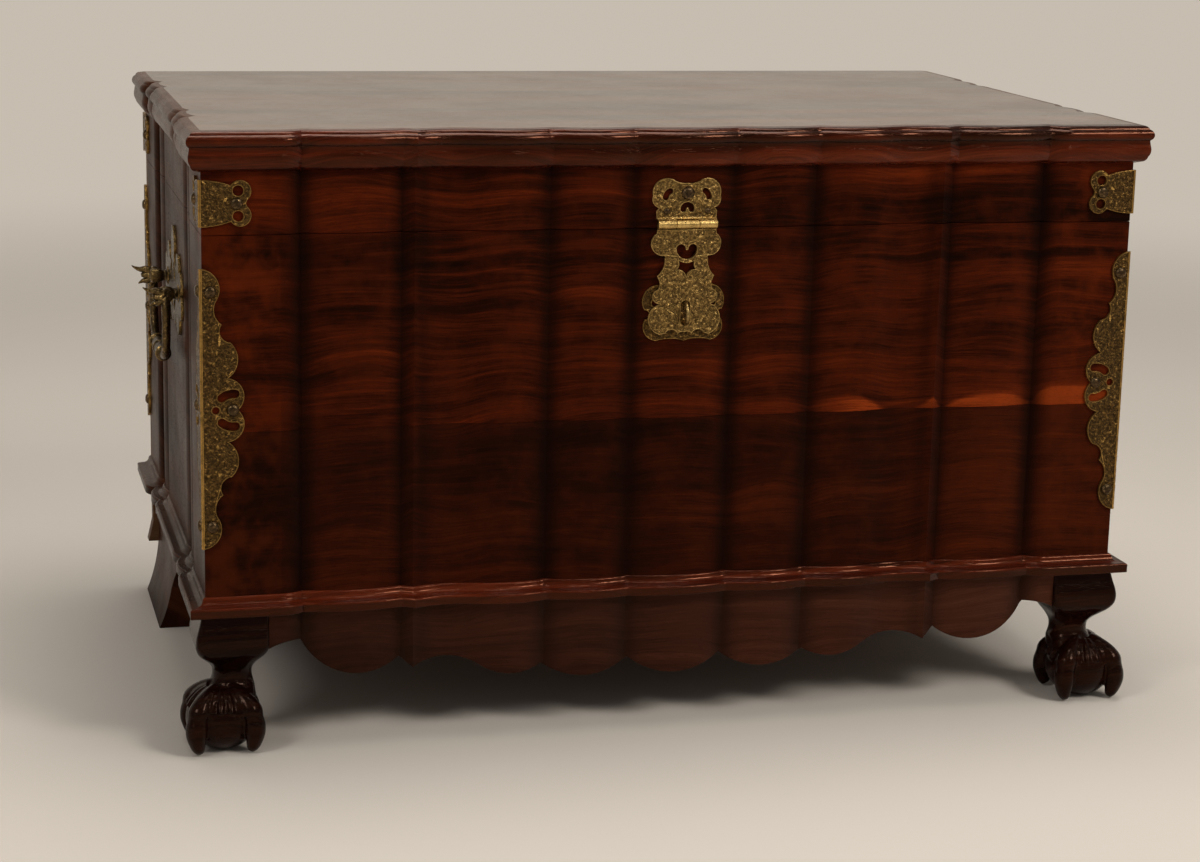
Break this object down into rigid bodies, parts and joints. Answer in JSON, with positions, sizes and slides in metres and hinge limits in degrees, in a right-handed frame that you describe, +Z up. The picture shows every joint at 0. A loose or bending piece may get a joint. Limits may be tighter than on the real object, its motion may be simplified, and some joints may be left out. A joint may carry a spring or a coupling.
{
  "type": "serpentine-fronted chest",
  "caption": "Wooden storage chest with a serpentine front, hinged lid, brass hasp and staple, corner straps and swinging side handles, on claw-and-ball front feet.",
  "frame": {"origin": "on the floor, under the middle of the chest's bounding box", "axes": "+X to the viewer's right along the front, +Y from the front to the back, +Z up"},
  "size_m": [1.1, 0.6832, 0.657],
  "materials": {
    "front_wood_upper": "polished red-brown, wavy dark figure",
    "front_wood_lower": "polished darker red-brown",
    "lid_wood": "polished brown",
    "dark_wood": "polished dark brown",
    "plain_wood": "plain waxed",
    "stippled_brass": "cast, stippled, bright rim",
    "smooth_brass": "smooth, worn bright",
    "nail_brass": "dull forged heads"
  },
  "bodies": {
    "case": {"front_board_lower": "front_wood_lower", "front_board_upper": "front_wood_upper", "side_board_left": "dark_wood", "side_board_right": "dark_wood", "back_board": "plain_wood", "bottom_board": "plain_wood", "base_moulding_front": "dark_wood", "base_moulding_left": "dark_wood", "base_moulding_right": "dark_wood", "front_apron": "dark_wood", "side_apron_left": "dark_wood", "side_apron_right": "dark_wood", "rear_foot_left": "dark_wood", "rear_foot_right": "dark_wood", "back_rail": "plain_wood", "front_leg_left": "dark_wood", "front_leg_right": "dark_wood", "corner_straps": "stippled_brass", "case_nails": "nail_brass", "hasp_backplate": "stippled_brass", "hasp_staple": "smooth_brass", "handle_plates": "stippled_brass", "hinge_leaves_lower": "smooth_brass", "hinge_pins": "smooth_brass"},
    "lid": {"lid_panel": "lid_wood", "lid_skirt_front": "front_wood_upper", "lid_skirt_left": "dark_wood", "lid_skirt_right": "dark_wood", "lid_skirt_back": "plain_wood", "lid_moulding_front": "lid_wood", "lid_moulding_left": "lid_wood", "lid_moulding_right": "lid_wood", "lid_brackets": "stippled_brass", "lid_nails": "nail_brass", "hasp_hanger": "stippled_brass", "hasp_pin": "smooth_brass", "hinge_leaves_upper": "smooth_brass"},
    "hasp": {"hasp_flap": "stippled_brass"},
    "handle_left": {"handle_bail_left": "smooth_brass"},
    "handle_right": {"handle_bail_right": "smooth_brass"}
  },
  "joints": [
    {"name": "lid_hinge", "type": "hinge", "parent": "case", "child": "lid", "pos_m": [0, 0.33705, 0.54985], "axis": [-1, 0, 0], "range_deg": [0, 100]},
    {"name": "hasp_hinge", "type": "hinge", "parent": "lid", "child": "hasp", "pos_m": [0, -0.32255, 0.555], "axis": [-1, 0, 0], "range_deg": [0, 155]},
    {"name": "handle_left_hinge", "type": "hinge", "parent": "case", "child": "handle_left", "pos_m": [-0.5242, 0.00735, 0.446], "axis": [0, 1, 0], "range_deg": [0, 90]},
    {"name": "handle_right_hinge", "type": "hinge", "parent": "case", "child": "handle_right", "pos_m": [0.5242, 0.00735, 0.446], "axis": [0, -1, 0], "range_deg": [0, 90]}
  ]
}
